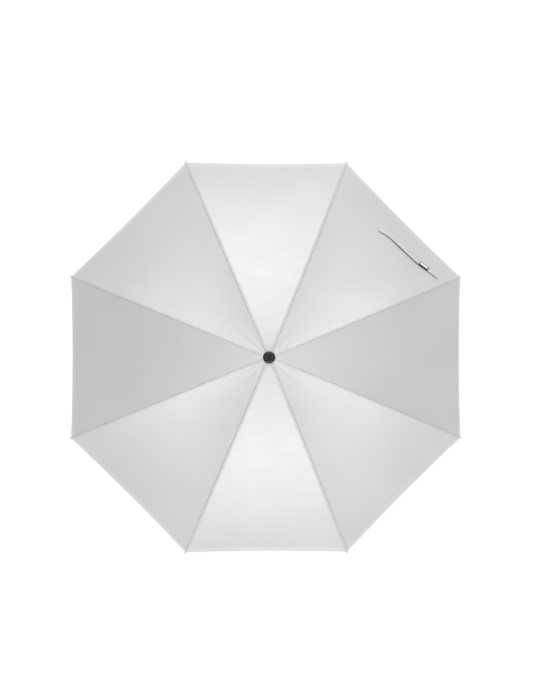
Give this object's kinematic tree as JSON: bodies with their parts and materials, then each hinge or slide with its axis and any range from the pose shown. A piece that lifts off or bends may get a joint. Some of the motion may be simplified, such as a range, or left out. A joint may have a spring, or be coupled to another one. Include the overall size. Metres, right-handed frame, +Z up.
{
  "type": "umbrella reflector",
  "caption": "Folding studio umbrella reflector with an octagonal silver-white canopy, jointed ribs, stretchers, sliding runner and plain steel shaft",
  "frame": {"origin": "centre of the flat lower end of the shaft, under its end plug, where the umbrella holder grips the shaft", "axes": "+Z runs up the shaft to the cap on the crown; +X points at the middle of one gore and at the catch's side; +Y completes the right-handed frame"},
  "size_m": [0.8122, 0.8122, 0.6104],
  "materials": {
    "bright_steel": "bright plated steel",
    "spring_steel": "bare spring steel",
    "black_plastic": "moulded, fine matt",
    "gloss_black": "moulded, polished",
    "fibreglass": "pultruded rod, satin",
    "tip_grey": "moulded, satin",
    "silver_cloth": "coated woven cloth, satin sheen",
    "washer_cloth": "plain woven disc",
    "tag_white": "blank woven label"
  },
  "bodies": {
    "frame": {"shaft": "bright_steel", "end_plug": "black_plastic", "top_notch": "black_plastic", "notch_wire": "spring_steel", "crown_washer": "washer_cloth", "top_cap": "gloss_black", "stop_pin": "spring_steel"},
    "runner": {"runner": "black_plastic"},
    "catch": {"catch_spring": "spring_steel"},
    "rib_inner_1": {"rib_inner_1": "bright_steel"},
    "rib_outer_1": {"rib_outer_1": "fibreglass", "rib_tip_1": "tip_grey"},
    "stretcher_1": {"stretcher_1": "bright_steel"},
    "rib_inner_2": {"rib_inner_2": "bright_steel"},
    "rib_outer_2": {"rib_outer_2": "fibreglass", "rib_tip_2": "tip_grey"},
    "stretcher_2": {"stretcher_2": "bright_steel"},
    "rib_inner_3": {"rib_inner_3": "bright_steel"},
    "rib_outer_3": {"rib_outer_3": "fibreglass", "rib_tip_3": "tip_grey"},
    "stretcher_3": {"stretcher_3": "bright_steel"},
    "rib_inner_4": {"rib_inner_4": "bright_steel"},
    "rib_outer_4": {"rib_outer_4": "fibreglass", "rib_tip_4": "tip_grey"},
    "stretcher_4": {"stretcher_4": "bright_steel"},
    "rib_inner_5": {"rib_inner_5": "bright_steel"},
    "rib_outer_5": {"rib_outer_5": "fibreglass", "rib_tip_5": "tip_grey"},
    "stretcher_5": {"stretcher_5": "bright_steel"},
    "rib_inner_6": {"rib_inner_6": "bright_steel"},
    "rib_outer_6": {"rib_outer_6": "fibreglass", "rib_tip_6": "tip_grey"},
    "stretcher_6": {"stretcher_6": "bright_steel"},
    "rib_inner_7": {"rib_inner_7": "bright_steel"},
    "rib_outer_7": {"rib_outer_7": "fibreglass", "rib_tip_7": "tip_grey"},
    "stretcher_7": {"stretcher_7": "bright_steel"},
    "rib_inner_8": {"rib_inner_8": "bright_steel"},
    "rib_outer_8": {"rib_outer_8": "fibreglass", "rib_tip_8": "tip_grey"},
    "stretcher_8": {"stretcher_8": "bright_steel"},
    "cloth_1_a": {"gore_1_a": "silver_cloth"},
    "cloth_1_b": {"gore_1_b": "silver_cloth"},
    "cloth_2_a": {"gore_2_a": "silver_cloth", "closure_strap": "silver_cloth", "strap_tag": "tag_white"},
    "cloth_2_b": {"gore_2_b": "silver_cloth"},
    "cloth_3_a": {"gore_3_a": "silver_cloth"},
    "cloth_3_b": {"gore_3_b": "silver_cloth"},
    "cloth_4_a": {"gore_4_a": "silver_cloth"},
    "cloth_4_b": {"gore_4_b": "silver_cloth"},
    "cloth_5_a": {"gore_5_a": "silver_cloth"},
    "cloth_5_b": {"gore_5_b": "silver_cloth"},
    "cloth_6_a": {"gore_6_a": "silver_cloth"},
    "cloth_6_b": {"gore_6_b": "silver_cloth"},
    "cloth_7_a": {"gore_7_a": "silver_cloth"},
    "cloth_7_b": {"gore_7_b": "silver_cloth"},
    "cloth_8_a": {"gore_8_a": "silver_cloth"},
    "cloth_8_b": {"gore_8_b": "silver_cloth"}
  },
  "joints": [
    {"name": "runner_slide", "type": "slide", "parent": "frame", "child": "runner", "axis": [0, 0, -1], "range_m": [0, 0.30882], "deforming": ["gore_1_a", "gore_1_b", "gore_2_a", "gore_2_b", "gore_3_a", "gore_3_b", "gore_4_a", "gore_4_b", "gore_5_a", "gore_5_b", "gore_6_a", "gore_6_b", "gore_7_a", "gore_7_b", "gore_8_a", "gore_8_b", "closure_strap", "strap_tag"]},
    {"name": "catch_press", "type": "slide", "parent": "frame", "child": "catch", "axis": [-1, 0, 0], "range_m": [0, 0.0012], "stiffness_N_per_m": 800, "springref_m": -0.002},
    {"name": "rib_turn_1", "type": "hinge", "parent": "frame", "child": "rib_inner_1", "pos_m": [0.00795, 0.00329, 0.6], "axis": [-0.3827, 0.9239, 0], "range_deg": [0, 73.82]},
    {"name": "rib_flex_1", "type": "hinge", "parent": "rib_inner_1", "child": "rib_outer_1", "pos_m": [0.19475, 0.08067, 0.54485], "axis": [-0.3827, 0.9239, 0], "range_deg": [-13.4, 0]},
    {"name": "stretcher_turn_1", "type": "hinge", "parent": "rib_inner_1", "child": "stretcher_1", "pos_m": [0.19475, 0.08067, 0.54485], "axis": [-0.3827, 0.9239, 0], "range_deg": [-147.63, 0]},
    {"name": "rib_turn_2", "type": "hinge", "parent": "frame", "child": "rib_inner_2", "pos_m": [0.00329, 0.00795, 0.6], "axis": [-0.9239, 0.3827, 0], "range_deg": [0, 73.82]},
    {"name": "rib_flex_2", "type": "hinge", "parent": "rib_inner_2", "child": "rib_outer_2", "pos_m": [0.08067, 0.19475, 0.54485], "axis": [-0.9239, 0.3827, 0], "range_deg": [-13.4, 0]},
    {"name": "stretcher_turn_2", "type": "hinge", "parent": "rib_inner_2", "child": "stretcher_2", "pos_m": [0.08067, 0.19475, 0.54485], "axis": [-0.9239, 0.3827, 0], "range_deg": [-147.63, 0]},
    {"name": "rib_turn_3", "type": "hinge", "parent": "frame", "child": "rib_inner_3", "pos_m": [-0.00329, 0.00795, 0.6], "axis": [-0.9239, -0.3827, 0], "range_deg": [0, 73.82]},
    {"name": "rib_flex_3", "type": "hinge", "parent": "rib_inner_3", "child": "rib_outer_3", "pos_m": [-0.08067, 0.19475, 0.54485], "axis": [-0.9239, -0.3827, 0], "range_deg": [-13.4, 0]},
    {"name": "stretcher_turn_3", "type": "hinge", "parent": "rib_inner_3", "child": "stretcher_3", "pos_m": [-0.08067, 0.19475, 0.54485], "axis": [-0.9239, -0.3827, 0], "range_deg": [-147.63, 0]},
    {"name": "rib_turn_4", "type": "hinge", "parent": "frame", "child": "rib_inner_4", "pos_m": [-0.00795, 0.00329, 0.6], "axis": [-0.3827, -0.9239, 0], "range_deg": [0, 73.82]},
    {"name": "rib_flex_4", "type": "hinge", "parent": "rib_inner_4", "child": "rib_outer_4", "pos_m": [-0.19475, 0.08067, 0.54485], "axis": [-0.3827, -0.9239, 0], "range_deg": [-13.4, 0]},
    {"name": "stretcher_turn_4", "type": "hinge", "parent": "rib_inner_4", "child": "stretcher_4", "pos_m": [-0.19475, 0.08067, 0.54485], "axis": [-0.3827, -0.9239, 0], "range_deg": [-147.63, 0]},
    {"name": "rib_turn_5", "type": "hinge", "parent": "frame", "child": "rib_inner_5", "pos_m": [-0.00795, -0.00329, 0.6], "axis": [0.3827, -0.9239, 0], "range_deg": [0, 73.82]},
    {"name": "rib_flex_5", "type": "hinge", "parent": "rib_inner_5", "child": "rib_outer_5", "pos_m": [-0.19475, -0.08067, 0.54485], "axis": [0.3827, -0.9239, 0], "range_deg": [-13.4, 0]},
    {"name": "stretcher_turn_5", "type": "hinge", "parent": "rib_inner_5", "child": "stretcher_5", "pos_m": [-0.19475, -0.08067, 0.54485], "axis": [0.3827, -0.9239, 0], "range_deg": [-147.63, 0]},
    {"name": "rib_turn_6", "type": "hinge", "parent": "frame", "child": "rib_inner_6", "pos_m": [-0.00329, -0.00795, 0.6], "axis": [0.9239, -0.3827, 0], "range_deg": [0, 73.82]},
    {"name": "rib_flex_6", "type": "hinge", "parent": "rib_inner_6", "child": "rib_outer_6", "pos_m": [-0.08067, -0.19475, 0.54485], "axis": [0.9239, -0.3827, 0], "range_deg": [-13.4, 0]},
    {"name": "stretcher_turn_6", "type": "hinge", "parent": "rib_inner_6", "child": "stretcher_6", "pos_m": [-0.08067, -0.19475, 0.54485], "axis": [0.9239, -0.3827, 0], "range_deg": [-147.63, 0]},
    {"name": "rib_turn_7", "type": "hinge", "parent": "frame", "child": "rib_inner_7", "pos_m": [0.00329, -0.00795, 0.6], "axis": [0.9239, 0.3827, 0], "range_deg": [0, 73.82]},
    {"name": "rib_flex_7", "type": "hinge", "parent": "rib_inner_7", "child": "rib_outer_7", "pos_m": [0.08067, -0.19475, 0.54485], "axis": [0.9239, 0.3827, 0], "range_deg": [-13.4, 0]},
    {"name": "stretcher_turn_7", "type": "hinge", "parent": "rib_inner_7", "child": "stretcher_7", "pos_m": [0.08067, -0.19475, 0.54485], "axis": [0.9239, 0.3827, 0], "range_deg": [-147.63, 0]},
    {"name": "rib_turn_8", "type": "hinge", "parent": "frame", "child": "rib_inner_8", "pos_m": [0.00795, -0.00329, 0.6], "axis": [0.3827, 0.9239, 0], "range_deg": [0, 73.82]},
    {"name": "rib_flex_8", "type": "hinge", "parent": "rib_inner_8", "child": "rib_outer_8", "pos_m": [0.19475, -0.08067, 0.54485], "axis": [0.3827, 0.9239, 0], "range_deg": [-13.4, 0]},
    {"name": "stretcher_turn_8", "type": "hinge", "parent": "rib_inner_8", "child": "stretcher_8", "pos_m": [0.19475, -0.08067, 0.54485], "axis": [0.3827, 0.9239, 0], "range_deg": [-147.63, 0]},
    {"name": "cloth_fold_1_a", "type": "hinge", "parent": "rib_inner_8", "child": "cloth_1_a", "pos_m": [0.00955, 0, 0.60277], "axis": [0.8342, -0.4444, -0.3265], "range_deg": [0, 74.9]},
    {"name": "cloth_fold_1_b", "type": "hinge", "parent": "rib_inner_1", "child": "cloth_1_b", "pos_m": [0.00955, 0, 0.60277], "axis": [-0.8342, -0.4444, 0.3265], "range_deg": [0, 74.9]},
    {"name": "cloth_fold_2_a", "type": "hinge", "parent": "rib_inner_1", "child": "cloth_2_a", "pos_m": [0.00675, 0.00675, 0.60277], "axis": [0.9041, 0.2756, -0.3265], "range_deg": [0, 74.9]},
    {"name": "cloth_fold_2_b", "type": "hinge", "parent": "rib_inner_2", "child": "cloth_2_b", "pos_m": [0.00675, 0.00675, 0.60277], "axis": [-0.2756, -0.9041, 0.3265], "range_deg": [0, 74.9]},
    {"name": "cloth_fold_3_a", "type": "hinge", "parent": "rib_inner_2", "child": "cloth_3_a", "pos_m": [0, 0.00955, 0.60277], "axis": [0.4444, 0.8342, -0.3265], "range_deg": [0, 74.9]},
    {"name": "cloth_fold_3_b", "type": "hinge", "parent": "rib_inner_3", "child": "cloth_3_b", "pos_m": [0, 0.00955, 0.60277], "axis": [0.4444, -0.8342, 0.3265], "range_deg": [0, 74.9]},
    {"name": "cloth_fold_4_a", "type": "hinge", "parent": "rib_inner_3", "child": "cloth_4_a", "pos_m": [-0.00675, 0.00675, 0.60277], "axis": [-0.2756, 0.9041, -0.3265], "range_deg": [0, 74.9]},
    {"name": "cloth_fold_4_b", "type": "hinge", "parent": "rib_inner_4", "child": "cloth_4_b", "pos_m": [-0.00675, 0.00675, 0.60277], "axis": [0.9041, -0.2756, 0.3265], "range_deg": [0, 74.9]},
    {"name": "cloth_fold_5_a", "type": "hinge", "parent": "rib_inner_4", "child": "cloth_5_a", "pos_m": [-0.00955, 0, 0.60277], "axis": [-0.8342, 0.4444, -0.3265], "range_deg": [0, 74.9]},
    {"name": "cloth_fold_5_b", "type": "hinge", "parent": "rib_inner_5", "child": "cloth_5_b", "pos_m": [-0.00955, 0, 0.60277], "axis": [0.8342, 0.4444, 0.3265], "range_deg": [0, 74.9]},
    {"name": "cloth_fold_6_a", "type": "hinge", "parent": "rib_inner_5", "child": "cloth_6_a", "pos_m": [-0.00675, -0.00675, 0.60277], "axis": [-0.9041, -0.2756, -0.3265], "range_deg": [0, 74.9]},
    {"name": "cloth_fold_6_b", "type": "hinge", "parent": "rib_inner_6", "child": "cloth_6_b", "pos_m": [-0.00675, -0.00675, 0.60277], "axis": [0.2756, 0.9041, 0.3265], "range_deg": [0, 74.9]},
    {"name": "cloth_fold_7_a", "type": "hinge", "parent": "rib_inner_6", "child": "cloth_7_a", "pos_m": [0, -0.00955, 0.60277], "axis": [-0.4444, -0.8342, -0.3265], "range_deg": [0, 74.9]},
    {"name": "cloth_fold_7_b", "type": "hinge", "parent": "rib_inner_7", "child": "cloth_7_b", "pos_m": [0, -0.00955, 0.60277], "axis": [-0.4444, 0.8342, 0.3265], "range_deg": [0, 74.9]},
    {"name": "cloth_fold_8_a", "type": "hinge", "parent": "rib_inner_7", "child": "cloth_8_a", "pos_m": [0.00675, -0.00675, 0.60277], "axis": [0.2756, -0.9041, -0.3265], "range_deg": [0, 74.9]},
    {"name": "cloth_fold_8_b", "type": "hinge", "parent": "rib_inner_8", "child": "cloth_8_b", "pos_m": [0.00675, -0.00675, 0.60277], "axis": [-0.9041, 0.2756, 0.3265], "range_deg": [0, 74.9]}
  ],
  "couplings": [
    {"joint": "rib_turn_1", "follows": "runner_slide", "rad_per_m": 4.1718},
    {"joint": "rib_flex_1", "follows": "runner_slide", "rad_per_m": -0.75743},
    {"joint": "stretcher_turn_1", "follows": "runner_slide", "rad_per_m": -8.3435},
    {"joint": "rib_turn_2", "follows": "runner_slide", "rad_per_m": 4.1718},
    {"joint": "rib_flex_2", "follows": "runner_slide", "rad_per_m": -0.75743},
    {"joint": "stretcher_turn_2", "follows": "runner_slide", "rad_per_m": -8.3435},
    {"joint": "rib_turn_3", "follows": "runner_slide", "rad_per_m": 4.1718},
    {"joint": "rib_flex_3", "follows": "runner_slide", "rad_per_m": -0.75743},
    {"joint": "stretcher_turn_3", "follows": "runner_slide", "rad_per_m": -8.3435},
    {"joint": "rib_turn_4", "follows": "runner_slide", "rad_per_m": 4.1718},
    {"joint": "rib_flex_4", "follows": "runner_slide", "rad_per_m": -0.75743},
    {"joint": "stretcher_turn_4", "follows": "runner_slide", "rad_per_m": -8.3435},
    {"joint": "rib_turn_5", "follows": "runner_slide", "rad_per_m": 4.1718},
    {"joint": "rib_flex_5", "follows": "runner_slide", "rad_per_m": -0.75743},
    {"joint": "stretcher_turn_5", "follows": "runner_slide", "rad_per_m": -8.3435},
    {"joint": "rib_turn_6", "follows": "runner_slide", "rad_per_m": 4.1718},
    {"joint": "rib_flex_6", "follows": "runner_slide", "rad_per_m": -0.75743},
    {"joint": "stretcher_turn_6", "follows": "runner_slide", "rad_per_m": -8.3435},
    {"joint": "rib_turn_7", "follows": "runner_slide", "rad_per_m": 4.1718},
    {"joint": "rib_flex_7", "follows": "runner_slide", "rad_per_m": -0.75743},
    {"joint": "stretcher_turn_7", "follows": "runner_slide", "rad_per_m": -8.3435},
    {"joint": "rib_turn_8", "follows": "runner_slide", "rad_per_m": 4.1718},
    {"joint": "rib_flex_8", "follows": "runner_slide", "rad_per_m": -0.75743},
    {"joint": "stretcher_turn_8", "follows": "runner_slide", "rad_per_m": -8.3435},
    {"joint": "cloth_fold_1_a", "follows": "runner_slide", "rad_per_m": 4.233},
    {"joint": "cloth_fold_1_b", "follows": "runner_slide", "rad_per_m": 4.233},
    {"joint": "cloth_fold_2_a", "follows": "runner_slide", "rad_per_m": 4.233},
    {"joint": "cloth_fold_2_b", "follows": "runner_slide", "rad_per_m": 4.233},
    {"joint": "cloth_fold_3_a", "follows": "runner_slide", "rad_per_m": 4.233},
    {"joint": "cloth_fold_3_b", "follows": "runner_slide", "rad_per_m": 4.233},
    {"joint": "cloth_fold_4_a", "follows": "runner_slide", "rad_per_m": 4.233},
    {"joint": "cloth_fold_4_b", "follows": "runner_slide", "rad_per_m": 4.233},
    {"joint": "cloth_fold_5_a", "follows": "runner_slide", "rad_per_m": 4.233},
    {"joint": "cloth_fold_5_b", "follows": "runner_slide", "rad_per_m": 4.233},
    {"joint": "cloth_fold_6_a", "follows": "runner_slide", "rad_per_m": 4.233},
    {"joint": "cloth_fold_6_b", "follows": "runner_slide", "rad_per_m": 4.233},
    {"joint": "cloth_fold_7_a", "follows": "runner_slide", "rad_per_m": 4.233},
    {"joint": "cloth_fold_7_b", "follows": "runner_slide", "rad_per_m": 4.233},
    {"joint": "cloth_fold_8_a", "follows": "runner_slide", "rad_per_m": 4.233},
    {"joint": "cloth_fold_8_b", "follows": "runner_slide", "rad_per_m": 4.233}
  ]
}
